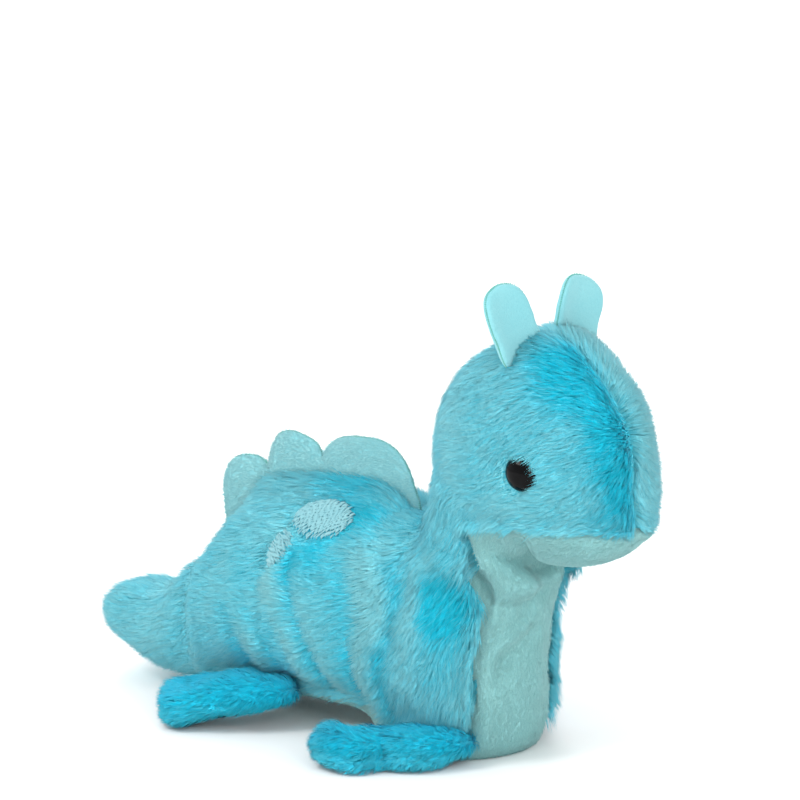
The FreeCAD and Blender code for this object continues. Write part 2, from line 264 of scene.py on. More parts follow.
def final_arrays(thing):
    """What an object's modifiers make of it. The object goes."""
    rough = thing.data
    shape = thing.evaluated_get(bpy.context.evaluated_depsgraph_get())
    result = bpy.data.meshes.new_from_object(shape)
    arrays = mesh_arrays(result)
    bpy.data.objects.remove(thing)
    bpy.data.meshes.remove(rough)
    bpy.data.meshes.remove(result)
    return arrays


def remeshed(parts, voxel):
    """One closed, even mesh round all of the parts."""
    points, faces = [], []
    for part_points, part_faces in parts:
        start = len(points)
        points.extend(part_points)
        faces.extend(tuple(index + start for index in face) for face in part_faces)
    rough = add_object("rough", new_mesh("rough", points, faces))
    modifier = rough.modifiers.new("even", "REMESH")
    modifier.mode = "VOXEL"
    modifier.voxel_size = voxel
    return final_arrays(rough)


def node_shape(name):
    return mesh_arrays(frame["nodes"][name].data)


# ---- materials

def new_material(name):
    material = bpy.data.materials.new(name)
    material.use_nodes = True
    return material, material.node_tree, material.node_tree.nodes["Principled BSDF"]


def set_inputs(node, **values):
    for name, value in values.items():
        node.inputs[name.replace("_", " ")].default_value = value


def colour_ramp(tree, stops):
    ramp = tree.nodes.new("ShaderNodeValToRGB")
    elements = ramp.color_ramp.elements
    while len(elements) < len(stops):
        elements.new(0.5)
    for element, (place, colour) in zip(elements, stops):
        element.position = place
        element.color = (*colour, 1.0)
    return ramp


def srgb(code):
    """A colour from its usual six-digit code, in linear light."""
    values = [int(code[start:start + 2], 16) / 255.0 for start in (0, 2, 4)]
    return tuple(((v + 0.055) / 1.055) ** 2.4 if v > 0.04045 else v / 12.92 for v in values)


def noise_texture(tree, scale, detail=2.0):
    """Noise that is fixed to the piece."""
    place = tree.nodes.new("ShaderNodeTexCoord")
    texture = tree.nodes.new("ShaderNodeTexNoise")
    set_inputs(texture, Scale=scale, Detail=detail)
    tree.links.new(place.outputs["Object"], texture.inputs["Vector"])
    return texture.outputs["Fac"]


def colour_by(tree, shader, source, low, high):
    """Colours the shader from low to high, each a (place, colour), along the source."""
    ramp = colour_ramp(tree, [low, high])
    tree.links.new(source, ramp.inputs[0])
    tree.links.new(ramp.outputs[0], shader.inputs["Base Color"])


def fur_material(name, dark, light):
    """Pile whose colour runs along each hair, from a root deepened with painted shade to a paler tip, and
    differs from hair to hair.
    """
    material, tree, shader = new_material(name)
    place = tree.nodes.new("ShaderNodeUVMap")
    place.uv_map = "OFBake"
    split = tree.nodes.new("ShaderNodeSeparateXYZ")
    mix = tree.nodes.new("ShaderNodeMix")
    mix.data_type = "RGBA"
    link = tree.links.new
    link(place.outputs[0], split.inputs[0])
    link(split.outputs["X"], mix.inputs["Factor"])
    for socket, codes in (("A", dark), ("B", light)):
        ramp = colour_ramp(tree, [(at, srgb(code)) for at, code in zip((0.0, 0.45, 1.0), codes)])
        link(split.outputs["Y"], ramp.inputs[0])
        link(ramp.outputs[0], mix.inputs[socket])
    link(mix.outputs["Result"], shader.inputs["Base Color"])
    # light that enters the pile comes out again nearby, on whichever hair is there
    shader.subsurface_method = "BURLEY"
    set_inputs(shader, Subsurface_Weight=0.85, Subsurface_Scale=0.45 * MM, Subsurface_Radius=(1.0, 1.0, 1.0),
               Roughness=0.75, Sheen_Weight=0.12, Sheen_Roughness=0.5, Sheen_Tint=(0.8, 0.95, 1.0, 1.0),
               Specular_IOR_Level=0.15)
    return material


def cloth_material(name, low, high, grain, bump, sheen):
    """Short-pile cloth: two scales of mottling, a fine nap in relief, and sheen."""
    material, tree, shader = new_material(name)
    fine = noise_texture(tree, grain, 3.0)
    weigh = tree.nodes.new("ShaderNodeMix")
    relief = tree.nodes.new("ShaderNodeBump")
    set_inputs(weigh, Factor=0.5)
    set_inputs(relief, Strength=bump, Distance=0.3 * MM)
    link = tree.links.new
    link(noise_texture(tree, 90.0, 4.0), weigh.inputs["A"])
    link(fine, weigh.inputs["B"])
    colour_by(tree, shader, weigh.outputs["Result"], (0.3, srgb(low)), (0.7, srgb(high)))
    link(fine, relief.inputs["Height"])
    link(relief.outputs[0], shader.inputs["Normal"])
    set_inputs(shader, Roughness=0.85, Sheen_Weight=sheen, Sheen_Roughness=0.45,
               Sheen_Tint=(0.9, 1.0, 1.0, 1.0), Specular_IOR_Level=0.2)
    return material


def gloss_material(name, code):
    """Polished plastic with faint moulding ripples."""
    material, tree, shader = new_material(name)
    colour = srgb(code)
    paler = tuple(1.3 * channel + 0.001 for channel in colour)
    colour_by(tree, shader, noise_texture(tree, 400.0), (0.4, colour), (0.6, paler))
    set_inputs(shader, Roughness=0.06, Specular_IOR_Level=0.12)
    return material


# dark and pale hairs, each with the colours of its root, middle and tip; the deeper colour towards the root is
# painted shade inside the pile
FURS = {
    "body_fur": (("00accd", "00bed8", "00cce4"), ("56bfcb", "7cccd6", "98dae0")),
    "flipper_fur": (("00b0d4", "00bedc", "04cae6"), ("34c2d8", "54ccdc", "84dce6")),
    "pale_nap": (("80bcbe", "8cc6c7", "98d0d0"), ("8ec8c8", "9cd2d0", "aadad6")),
    "crest_nap": (("7abdc5", "86c6cc", "92ced2"), ("8ccacf", "9ad2d6", "a6dadc")),
}
# low and high colour, grain, relief and sheen
CLOTHS = {
    "under_fur": ("34c0da", "50cadf", 2500.0, 0.3, 0.1),
    "pale_cloth": ("84bec0", "92c8c8", 2600.0, 0.6, 0.3),
    "crest_cloth": ("7cc0c8", "8ccad0", 2600.0, 0.5, 0.3),
    "thread": ("78b2bd", "94c4ca", 5000.0, 0.2, 0.25),
    "edge_thread": ("56a49c", "74b8ae", 5000.0, 0.2, 0.2),
    "washer": ("dcdcd6", "e6e6e2", 1500.0, 0.1, 0.0),
}
MATERIALS = {name: fur_material(name, *look) for name, look in FURS.items()}
MATERIALS.update({name: cloth_material(name, *look) for name, look in CLOTHS.items()})
MATERIALS["eye"] = gloss_material("eye", "010102")


# ---- the body's surface

BODY_NODES = (
    "torso_skin_left torso_skin_right belly_panel torso_fill spot_large_left spot_large_right spot_small_left "
    "spot_small_right neck_skin_left neck_skin_right throat_panel neck_fill head_skin_left head_skin_right "
    "chin_panel head_fill tail_skin_left tail_skin_right tail_fill"
).split()


def panel_edge(places):
    """How far inside the pale cloth a place is: above 0 it is throat, breast, belly or chin."""
    x, y, z = (places / MM).T
    wide = np.abs(y)
    near_width = 15.0 - 2.2 * bell(z - 38.0, 9.0)
    far_width = 10.5 + 3.0 * ease(z, 42.0, 50.0)
    far_width += 0.8 * np.sin(z * 2 * np.pi / 12.0) * ease(z, 8, 16)
    breast_width = near_width + (far_width - near_width) * ease(y, -2.0, 2.0)
    belly_width = 15.0 * ease(x, -50.0, -36.0) + 0.8
    breast = np.minimum(breast_width - wide, x - 36.0 + 0.10 * (z - 20.0))
    belly = np.minimum(belly_width - wide, 10.0 - z)
    chin_line = 60.5 + 1.5 * np.sin((x - 46.0) / 12.0)
    chin = np.minimum(chin_line - z, (x - 43.0) + (z - 52.0) * 0.35)
    lower = np.where(z < 53.0, breast, -9.0)
    low = np.where(x < 40.0, belly, -9.0)
    return np.maximum(np.maximum(lower, low), np.where(z > 47.0, chin, -9.0)) * MM


# folds of the throat and breast: the places that each passes, its height (below 0 a crease)
# and its half width, in mm
BREAST_FOLDS = [
    (((56.9, -16.2, 57.5), (54.6, -10.9, 53.6), (50.6, -0.6, 46.8), (49.4, 9.0, 46.4)), -3.0, 2.0),
    (((41.8, -13.7, 45.5), (43.8, -11.3, 40.9), (46.3, -9.0, 38.6), (48.1, -3.8, 38.6),
      (48.2, 1.5, 41.0)), -3.2, 2.0),
    (((44.7, -10.9, 22.0), (49.0, -8.4, 27.0), (49.5, 0.0, 31.0)), -2.4, 2.2),
    (((44.8, -12.7, 30.5), (48.2, -8.5, 34.0), (49.1, -3.0, 35.5)), -1.4, 1.8),
    (((44.0, -12.5, 51.0), (49.0, -8.5, 45.2), (50.5, -4.0, 43.4)), 2.4, 3.6),
    (((46.0, -11.0, 18.0), (50.0, -2.0, 18.0)), 1.4, 6.5),
    (((47.0, -9.5, 29.5), (50.0, -3.0, 32.0)), 0.9, 2.4),
]
# the breast's far side, below and above, and the slack behind the crest: height, middle and radii
BULGES = [
    (-2.6, (47, 12, 19), (13, 12, 26)), (3.6, (46, 13, 48), (11, 11, 10)), (-1.5, (-47, 0, 38), (15, 22, 13)),
]


def from_line(places, corners):
    """Distance from a line of straight runs, in millimetres."""
    nearest = np.full(len(places), np.inf)
    for start, end in zip(corners, corners[1:]):
        start, run = np.array(start), np.array(end) - np.array(start)
        rel = places / MM - start
        share = np.clip(rel @ run / (run @ run), 0.0, 1.0)
        nearest = np.minimum(nearest, np.linalg.norm(rel - np.outer(share, run), axis=1))
    return nearest


def flank_reach(points):
    """1 on the flanks, where the skin hangs in folds, and 0 elsewhere."""
    x, y, z = (points / MM).T
    flank = ease(np.abs(y), 12.0, 20.0) * band(z, 4.0, 14.0, 38.0, 54.0)
    return flank * band(x, -32.0, -14.0, 24.0, 36.0)


def fold_wave(points):
    """From -1 in the valleys to 1 on the ridges of the flank's uneven upright folds."""
    x, y, z = (points / MM).T
    lean = x + 0.28 * (z - 25.0) + 4.5 * noise(points, 19 * MM, 3)
    wave = np.sin(lean * 2 * np.pi / 13.5) + 0.45 * np.sin(lean * 2 * np.pi / 8.3 + 1.3)
    return wave / 1.45 * (0.75 + 0.5 * noise(points, 15 * MM, 8))


def beside_crest(places):
    """1 along the back seam, where the crest is sewn in and the pile stands up beside it."""
    x, y, z = (places / MM).T
    return band(x, -40.0, -30.0, 0.0, 12.0) * bell(y, 5.0) * ease(z, 32.0, 42.0)


def body_folds(points, normals, pale):
    """Sculpts what the stuffing and the seams do to the skin."""
    x, y, z = (points / MM).T
    # slack cloth on the flanks: upright folds that lean back and fade upwards
    flank = flank_reach(points)
    push = flank * 1.05 * fold_wave(points) + flank * 0.4 * noise(points, 8 * MM, 4)
    # crease between the shoulder and the barrel of the body
    crease = x - (20.0 - 0.35 * (z - 30.0)) + 2.0 * noise(points, 14 * MM, 5)
    push -= 1.3 * bell(crease, 3.6) * ease(np.abs(y), 9.0, 17.0) * ease(z, 20.0, 34.0)
    # creases and rolls of the throat and breast
    waver = 0.7 * noise(points, 9 * MM, 9)
    for corners, height, width in BREAST_FOLDS:
        push += height * bell(from_line(points, corners) + waver, width)
    for height, centre, radii in BULGES:
        push += height * blob(points, centre, radii)
    # fold at the nape
    push -= 1.6 * bell(z - 58.0 - 0.5 * (x - 18.0), 2.5) * band(x, 8.0, 14.0, 22.0, 34.0)
    # seams draw the skin in, but beside the crest and the far breast seam it stands up
    top_seam = bell(y, 1.6) * ease(normals[:, 2] + 0.6 * normals[:, 0], 0.2, 0.6)
    push -= 0.9 * top_seam * (1 - pale) * (1 - beside_crest(points))
    push += 3.4 * beside_crest(points)
    edge = panel_edge(points) / MM
    push -= 0.7 * bell(edge, 1.5)
    push += 0.8 * bell(edge - 2.4, 1.2) * ease(y, 2.0, 6.0) * ease(x, 34.0, 40.0)
    # the close stitching of the spots lifts the skin towards the ends of the pile
    push += 1.5 * (1.0 - spot_reach(points, 0.85, 1.15))
    # the pile of the head is clipped shorter, so the skin lies closer to its ends
    push -= 0.8 * ease(z, 62.0, 72.0)
    # uneven stuffing
    push += 0.7 * noise(points, 22 * MM, 6) + 0.35 * noise(points, 10 * MM, 7)
    return column(push * MM)


def puffed(points, faces, pressure, cap):
    """Cloth simulation: the stuffing swells the skin, no point further than the cap."""
    cloth = add_object("skin_cloth", new_mesh("skin_cloth", points, faces))
    modifier = cloth.modifiers.new("cloth", "CLOTH")
    for setting, value in dict(
        quality=4, mass=0.15, tension_stiffness=12, compression_stiffness=12, shear_stiffness=4,
        bending_stiffness=0.4, use_pressure=True, uniform_pressure_force=pressure,
    ).items():
        setattr(modifier.settings, setting, value)
    modifier.settings.effector_weights.gravity = 0.0
    modifier.collision_settings.use_collision = False
    modifier.point_cache.frame_start = 1
    modifier.point_cache.frame_end = PUFF_FRAMES
    for step in range(1, PUFF_FRAMES + 1):
        bpy.context.scene.frame_set(step)
    moved, _ = final_arrays(cloth)
    bpy.context.scene.frame_set(1)
    travel = moved - points
    distance = np.linalg.norm(travel, axis=1, keepdims=True)
    return points + travel * np.minimum(1.0, cap / np.maximum(distance, 1e-9))


def make_body():
    """The whole skin as (points, faces)."""
    tail = place_of("tail_swing")[0]
    # balls bridge the gaps at the joints
    points, faces = remeshed([node_shape(name) for name in BODY_NODES] + [
        ball((tail, 0, 19.5 * MM), (9, 16.2, 16.0)), ball(place_of("head_nod"), (16.2, 17.8, 9), 26),
        ball(NECK, (17.5, 20.5, 9), 37),
    ], SKIN_VOXEL)
    pairs = neighbour_pairs(faces)
    triangles = triangles_of(faces)
    points = relax(points, pairs, BODY_SMOOTHING)
    # the skin runs smoothly from the rump into the tail
    points = relax(points, pairs, TAIL_SMOOTHING, 0.5 * column(bell(points[:, 0] - tail, 9 * MM)))
    normals = point_normals(points, triangles)
    points = points + normals * CLOTH_SWELL
    pale = ease(panel_edge(points), -1.2 * MM, 0.8 * MM)
    points = points + normals * column((pale - 1.0) * FUR_SINK)
    points = puffed(points, faces, 2.0, PUFF_CAP)
    normals = point_normals(points, triangles)
    points = relax(points + normals * body_folds(points, normals, pale), pairs, 2, 0.4)
    # the belly arches up between the flippers, and the tail turns up a little
    x, y, z = (points / MM).T
    arch = band(x, -42.0, -24.0, 4.0, 22.0) * fade(z, 6.0, 24.0)
    points[:, 2] += (3.6 * arch + 1.0 * fade(x, -74.0, -60.0)) * MM
    points[:, 2] = np.maximum(points[:, 2], FLOOR_GAP)
    return points, faces


def settle_seam(points, faces, inside, field):
    """Moves the points on the border of a region onto the line where the field is nought."""
    border = {}
    for face, is_in in zip(faces, inside):
        for index in face:
            border.setdefault(index, set()).add(bool(is_in))
    chosen = np.array([index for index, kinds in border.items() if len(kinds) == 2], int)
    step = 0.2 * MM
    for _ in range(2):
        here = points[chosen]
        slope = np.stack([(field(here + axis * step) - field(here - axis * step)) for axis in (X, Y, Z)], 1)
        slope = slope / (2 * step)
        move = -column(field(here) / np.maximum((slope ** 2).sum(1), 0.05)) * slope
        length = np.linalg.norm(move, axis=1, keepdims=True)
        points[chosen] = here + move * np.minimum(1.0, SEAM_MOVE / np.maximum(length, 1e-9))
    return points


def subset(points, normals, faces, wanted):
    """The points and faces of one region, renumbered."""
    kept = [face for face, want in zip(faces, wanted) if want]
    used = sorted({index for face in kept for index in face})
    number = {index: place for place, index in enumerate(used)}
    return points[used], normals[used], [tuple(number[index] for index in face) for face in kept]


# ---- fur

def nap_direction(places):
    """Which way the pile lies: back from the nose, down the flanks and the neck."""
    x, y, z = (places / MM).T

    def lay(back, out, down):
        return np.stack((np.full(len(x), -back), out * np.sign(y), np.full(len(x), -down)), 1)

    on_head = ease(z + 0.4 * (x - 36.0), 62.0, 74.0)
    on_neck = ease(x, 12.0, 26.0) * (1 - on_head)
    on_tail = fade(x, -58.0, -44.0)
    flow = lay(1.0, 0.10, 0.35)
    for share, way in (
        (on_tail, lay(1.0, 0.0, 0.10)), (on_neck, lay(0.45, 0.05, 0.9)), (on_head, lay(0.85, 0.45, 0.40)),
    ):
        flow = flow * column(1 - share) + way * column(share)
    return unit(flow)


# painted shade: deep blue where the pile parts and in creases, where shade falls in the pile; how deep, middle
# and radii in mm
NEAR_PAINTED_SHADES = [
    (0.95, (67, -6, 98), (17, 13, 17)), (0.85, (77, -5, 84), (10, 9, 20)), (0.50, (78, -3, 68), (10, 10, 14)),
    (0.40, (37, -18, 40), (8, 8, 24)),
]
SIDE_PAINTED_SHADES = [
    (0.85, (4, 14, 54), (17, 13, 8)), (0.80, (-4, 5, 61), (18, 9, 9)), (0.70, (-3, 18, 44), (9, 9, 13)),
    (0.45, (21, 18, 44), (7, 9, 11)), (0.90, (36, 18, 41), (11, 9, 11)), (0.35, (-24, 20, 26), (8, 9, 15)),
]
TAIL_PAINTED_SHADE = (0.40, (-76, 0, 23), (7, 8, 5))


def body_shade(places):
    """From 0, deep blue, to 1, pale: tone that differs at random, painted shade where the pile parts, in
    creases and in the flank's fold valleys, and painted light on the fold ridges and the far side of the head.
    """
    x, y, z = (places / MM).T
    near = ease(-y, -1.0, 1.0)
    shade = 0.66 + 0.13 * noise(places, 12 * MM, 11) + 0.10 * noise(places, 4.5 * MM, 12)
    # painted shade in the valleys of the flank's folds and painted light on their ridges
    shade += 0.75 * flank_reach(places) * fold_wave(places)
    # painted light: the far side of the head is painted paler, as if lit
    shade += 0.22 * (1 - near) * ease(x, 50.0, 60.0) * ease(z, 60.0, 70.0)
    # painted shade, deep blue, where the pile parts and in creases
    for deep, centre, radii in NEAR_PAINTED_SHADES:
        shade -= deep * blob(places, centre, radii) * near
    for side in (-1.0, 1.0):
        for deep, centre, radii in SIDE_PAINTED_SHADES:
            shade -= deep * blob(places, np.array(centre) * (1, side, 1), radii)
    # painted shade, deep blue, where the pile parts near the tail's tip
    deep, centre, radii = TAIL_PAINTED_SHADE
    return np.clip(shade - deep * blob(places, centre, radii), 0.0, 1.0)


def sample_surface(points, normals, faces, per_mm2, rng, keep):
    """Random places spread evenly over a surface, and its normals there."""
    triangles = triangles_of(faces)
    corner = [points[triangles[:, index]] for index in range(3)]
    area = 0.5 * np.linalg.norm(np.cross(corner[1] - corner[0], corner[2] - corner[0]), axis=1)
    if keep is not None:
        area = area * keep((corner[0] + corner[1] + corner[2]) / 3.0)
    count = int(area.sum() / MM ** 2 * per_mm2)
    edges = np.cumsum(area)
    chosen = np.minimum(np.searchsorted(edges, rng.random(count) * edges[-1]), len(triangles) - 1)
    first, second = rng.random(count), rng.random(count)
    fold = first + second > 1
    first[fold], second[fold] = 1 - first[fold], 1 - second[fold]
    weights = [column(weight) for weight in (1 - first - second, first, second)]
    places = sum(weight * place[chosen] for weight, place in zip(weights, corner))
    normal = sum(weight * normals[triangles[chosen, i]] for i, weight in enumerate(weights))
    return places, unit(normal)


def make_fur(name, surface, per_mm2, length, flow, shade, material, rng, width=FUR_WIDTH, lift=0.42,
             stray=0.15, swirl=1.0, keep=None, upright=None, skyward=0.0, glow=None):
    """Hairs as slim bent ribbons that lie along the nap and rise at the root."""
    roots, normals = sample_surface(*surface, per_mm2, rng, keep)
    count = len(roots)
    tangent = flow(roots)
    tangent = unit(tangent - normals * (tangent * normals).sum(1, keepdims=True))
    side = np.cross(normals, tangent)
    clump = noise(roots, 3.0 * MM, 21) * 0.35 + noise(roots, 9 * MM, 22) * 0.40
    angle = column(swirl * clump + rng.normal(0.0, stray, count))
    lay = tangent * np.cos(angle) + side * np.sin(angle)
    rise = lift * (1.0 + 0.20 * noise(roots, 2.6 * MM, 23)) + rng.normal(0.0, 0.08, count)
    if upright is not None:
        rise = rise + upright(roots)
    rise = column(np.clip(rise, 0.08, 1.4))
    long = column(length(roots) * rng.uniform(0.75, 1.15, count))
    low = unit(lay * np.cos(rise * 1.5) + normals * np.sin(rise * 1.5))
    high = unit(lay * np.cos(rise * 0.55) + normals * np.sin(rise * 0.55))
    middle = roots + low * long * HAIR_BEND
    roll = column(rng.normal(0.0, 0.25, count))
    flat = unit(np.cross(high, normals))
    flat = flat * np.cos(roll) + np.cross(high, flat) * np.sin(roll)
    half = column(width / 2 * rng.uniform(0.7, 1.2, count))
    points = np.empty((count, 5, 3))
    points[:, 0] = roots - flat * half * 0.8
    points[:, 1] = roots + flat * half * 0.8
    points[:, 2] = middle + flat * half
    points[:, 3] = middle - flat * half
    points[:, 4] = middle + high * long * (1 - HAIR_BEND)
    points[:, :, 2] = np.maximum(points[:, :, 2], FLOOR_GAP)
    start = column(np.arange(count) * 5)
    quads, tops = start + (0, 1, 2, 3), start + (3, 2, 4)
    tone = np.clip(shade(roots) + rng.normal(0.0, 0.13, count), 0.01, 0.99)
    loops = np.concatenate((quads.reshape(-1), tops.reshape(-1)))
    starts = np.concatenate((np.arange(count) * 4, count * 4 + np.arange(count) * 3))
    mesh = bpy.data.meshes.new(name)
    for items, size, field, values in (
        (mesh.vertices, count * 5, "co", points.reshape(-1).astype(np.float32)),
        (mesh.loops, len(loops), "vertex_index", loops.astype(np.int32)),
        (mesh.polygons, count * 2, "loop_start", starts.astype(np.int32)),
    ):
        items.add(size)
        items.foreach_set(field, values)
    mesh.update(calc_edges=True)
    # across each hair its own tone, along it from root to tip
    layer = mesh.uv_layers.new(name="OFBake")
    across = np.array((-1.0, 1.0, 1.0, -1.0, 0.0)) * 0.02
    u = np.clip(column(tone) + across, 0.0, 1.0).reshape(-1)
    v = np.tile((0.0, 0.0, HAIR_BEND, HAIR_BEND, 1.0), count)
    layer.uv.foreach_set("vector", np.stack((u[loops], v[loops]), 1).reshape(-1).astype(np.float32))
    mesh.materials.append(MATERIALS[material])
    piece = add_object(name, mesh)
    mesh.shade_smooth()
    facing = normals + 0.2 * lay + skyward * Z
    if glow is not None:
        # thin pile on an edge is lit right through, so it takes the light of the open side
        facing = facing + column(glow(roots)) * OPEN_SIDE
    facing = np.repeat(unit(facing), 5, axis=0)
    mesh.normals_split_custom_set_from_vertices(facing.astype(np.float32).tolist())
    return piece


def make_nap(name, surface, flow, material, rng):
    """The short velvety pile of the pale cloth."""
    def shade(places):
        return 0.5 + 0.12 * noise(places, 7 * MM, 51) + 0.10 * noise(places, 2.2 * MM, 52)

    return make_fur(name, surface, NAP_DENSITY, lambda places: NAP_LENGTH, flow, shade, material, rng,
                    width=NAP_WIDTH, lift=0.5, stray=0.3, swirl=0.3)


# ---- assembling the body

def span(pivot, way, before, after):
    """Two places along this way through a pivot, this many millimetres before and after it."""
    return pivot - way * before * MM, pivot + way * after * MM


# for each zone, two body names and the two ends of a span round its joint
NOD_WAY = np.array((0.447, 0.0, 0.894))
ZONES = {
    "rear": (("torso", "tail"), span(place_of("tail_swing"), -X, 9, 7)),
    "front": (("torso", "neck"), span(NECK, NECK_AXIS, 9, 7)),
    "head": (("neck", "head"), span(place_of("head_nod"), NOD_WAY, 6, 8)),
}
REAR_SPLIT = -15 * MM


def zone_of(places):
    """0 at the rear, 1 at the front, 2 on the head: the surface is parted where nothing bends."""
    above = (places - NECK) @ NECK_AXIS
    zone = np.where(places[:, 0] < REAR_SPLIT, 0, 1)
    return np.where((above > 7 * MM) & (places[:, 0] > 10 * MM), 2, zone)


# what each zone's right, left and pale skin stand for
STANDS_FOR = {
    "rear": (("tail_skin_right", "tail_fill"), ("tail_skin_left",), ()),
    "front": (("torso_skin_right", "torso_fill", "pellet_pouch", "pellets"), ("torso_skin_left",),
              ("belly_panel",)),
    "head": (("neck_skin_right", "head_skin_right", "head_fill", "neck_fill"),
             ("neck_skin_left", "head_skin_left"), ("throat_panel", "chin_panel")),
}


def finish(piece, bodies, ends, slot, stands_for=(), fill=None):
    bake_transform(piece)
    if stands_for:
        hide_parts(*stands_for)


# how each embroidered spot is turned, in degrees, and its radii
SPOTS = {"spot_large": (-4.0, (8.8 * MM, 5.6 * MM)), "spot_small": (78.0, (4.9 * MM, 2.7 * MM))}
SPOT_FACING_HEIGHT = 34.0 * MM


def spot_plan(name, side):
    """A spot's middle, its radii, and its directions along, across and outwards."""
    degrees, radii = SPOTS[name]
    centre = box_centre(name + "_" + side)
    outwards = unit(np.array((0.0, centre[1], centre[2] - SPOT_FACING_HEIGHT)))
    up = upwards(np.cross(outwards, X))
    along = X * math.cos(math.radians(degrees)) + up * math.sin(math.radians(degrees))
    return centre, radii, along, np.cross(outwards, along), outwards


def spot_reach(places, low, high):
    """0 inside each embroidered spot and 1 outside, between these shares of its radii."""
    least = np.ones(len(places))
    for name in SPOTS:
        for side, _ in SIDES:
            centre, radii, along, across, outwards = spot_plan(name, side)
            rel = places - centre
            reach = np.sqrt((rel @ along / radii[0]) ** 2 + (rel @ across / radii[1]) ** 2)
            near = np.abs(rel @ outwards) < 9 * MM
            least = np.where(near, np.minimum(least, ease(reach, low, high)), least)
    return least


def fur_length(places):
    """Shorter beside the embroidery and round the eyes, longer at the breast, crest and horns."""
    length = FUR_LENGTH * (0.3 + 0.7 * spot_reach(places, 1.0, 1.75))
    for side, _ in SIDES:
        rel = (places - box_centre("eye_" + side))[:, [0, 2]]
        ahead = ease(rel[:, 0] + 0.35 * rel[:, 1], -0.5 * MM, 3.0 * MM)
        round_eye = fade(np.linalg.norm(rel, axis=1), 4 * MM, 8 * MM)
        length = length * (1.0 - 0.55 * (1.0 - ahead) * round_eye)
    more = np.where(places[:, 1] > 0, 0.4, 0.2) * fringe(places)
    return length * (1.0 + more + 0.25 * beside_crest(places) + 0.3 * beside_horns(places))


def fringe(places):
    """1 where the long pile bushes out beside the breast panel."""
    x, _, z = (places / MM).T
    return bell(panel_edge(places), 2.6 * MM) * ease(x, 26.0, 34.0) * fade(z, 52.0, 58.0)


def beside_horns(places):
    """1 round the foot of each horn, where the long pile laps over the seam."""
    total = np.zeros(len(places))
    for side, _ in SIDES:
        total += blob(places, place_of(f"horn_{side}_flex") / MM, (9, 9, 9))
    return np.minimum(total * 1.5, 1.0)


def pile_lift(places):
    """How much more the pile stands up at the breast seams, crest and horns, in radians."""
    lift = fringe(places) * np.where(places[:, 1] > 0, 0.9, 0.25)
    return lift + 0.1 * beside_crest(places) + 0.5 * beside_horns(places)


EYE_BARE_SHIFT = 0.7 * MM         # the bare oval under each eye lies this far towards the tail
EYE_BARE_TALLNESS = 0.78          # its width over its height


def eye_clear(places):
    """0 where an eye lies bare, 1 elsewhere."""
    clear = np.ones(len(places))
    for side, sign in SIDES:
        rel = places - (box_centre("eye_" + side) - EYE_BARE_SHIFT * X)
        distance = np.linalg.norm(rel[:, [0, 2]] * (1.0, EYE_BARE_TALLNESS), axis=1)
        near = places[:, 1] * sign > 10 * MM
        clear = np.where(near, np.minimum(clear, ease(distance, 3.2 * MM, 3.6 * MM)), clear)
    return clear


def dress_body():
    """Parts the skin along its seams and sets the pile on it; gives the skin's points."""
    points, faces = make_body()
    centres = np.array([points[list(face)].mean(0) for face in faces])
    pale, left = panel_edge(centres) > 0, centres[:, 1] > 0
    points = settle_seam(points, faces, pale, panel_edge)
    points = settle_seam(points, faces, left, lambda places: places[:, 1])
    normals = point_normals(points, triangles_of(faces))
    zones = zone_of(centres)
    rng = np.random.default_rng(SEED)
    regions = (("right", ~pale & ~left), ("left", ~pale & left), ("pale", pale))
    for number, (zone, bend) in enumerate(ZONES.items()):
        for (region, inside), stands_for in zip(regions, STANDS_FOR[zone]):
            surface = subset(points, normals, faces, inside & (zones == number))
            if region == "pale":
                skin = mesh_object(f"{zone}_pale_cloth", surface[0], surface[2], "pale_cloth", surface[1])
                finish(skin, *bend, "pale_cloth", stands_for, 0.8)
                nap = make_nap(f"{zone}_pale_nap", surface, nap_direction, "pale_nap", rng)
                finish(nap, *bend, "pale_cloth")
                continue
            skin = mesh_object(f"{zone}_cover_{region}", surface[0], surface[2], "under_fur", surface[1])
            finish(skin, *bend, "body_fur", stands_for, 0.85)
            fur = make_fur(
                f"{zone}_fur_{region}", surface, FUR_DENSITY, fur_length, nap_direction, body_shade,
                "body_fur", rng, keep=lambda places: spot_reach(places, 0.97, 1.03) * eye_clear(places),
                upright=pile_lift, glow=lambda places: 3.5 * fringe(places) * (places[:, 1] > 0),
            )
            finish(fur, *bend, "body_fur")
    return points


# ---- flippers

# how far the seam cuts into a flipper's back and front edges, as shares of its half width
FLIPPER_NOTCHES = {"front": (0.65, 0.45), "rear": (0.10, -0.15)}
FLIPPER_SHORTENING = {"front": 0.14, "rear": 0.16}
FLIPPER_VOXEL = 0.9 * MM
FLIPPER_FUR_LENGTH = 3.3 * MM


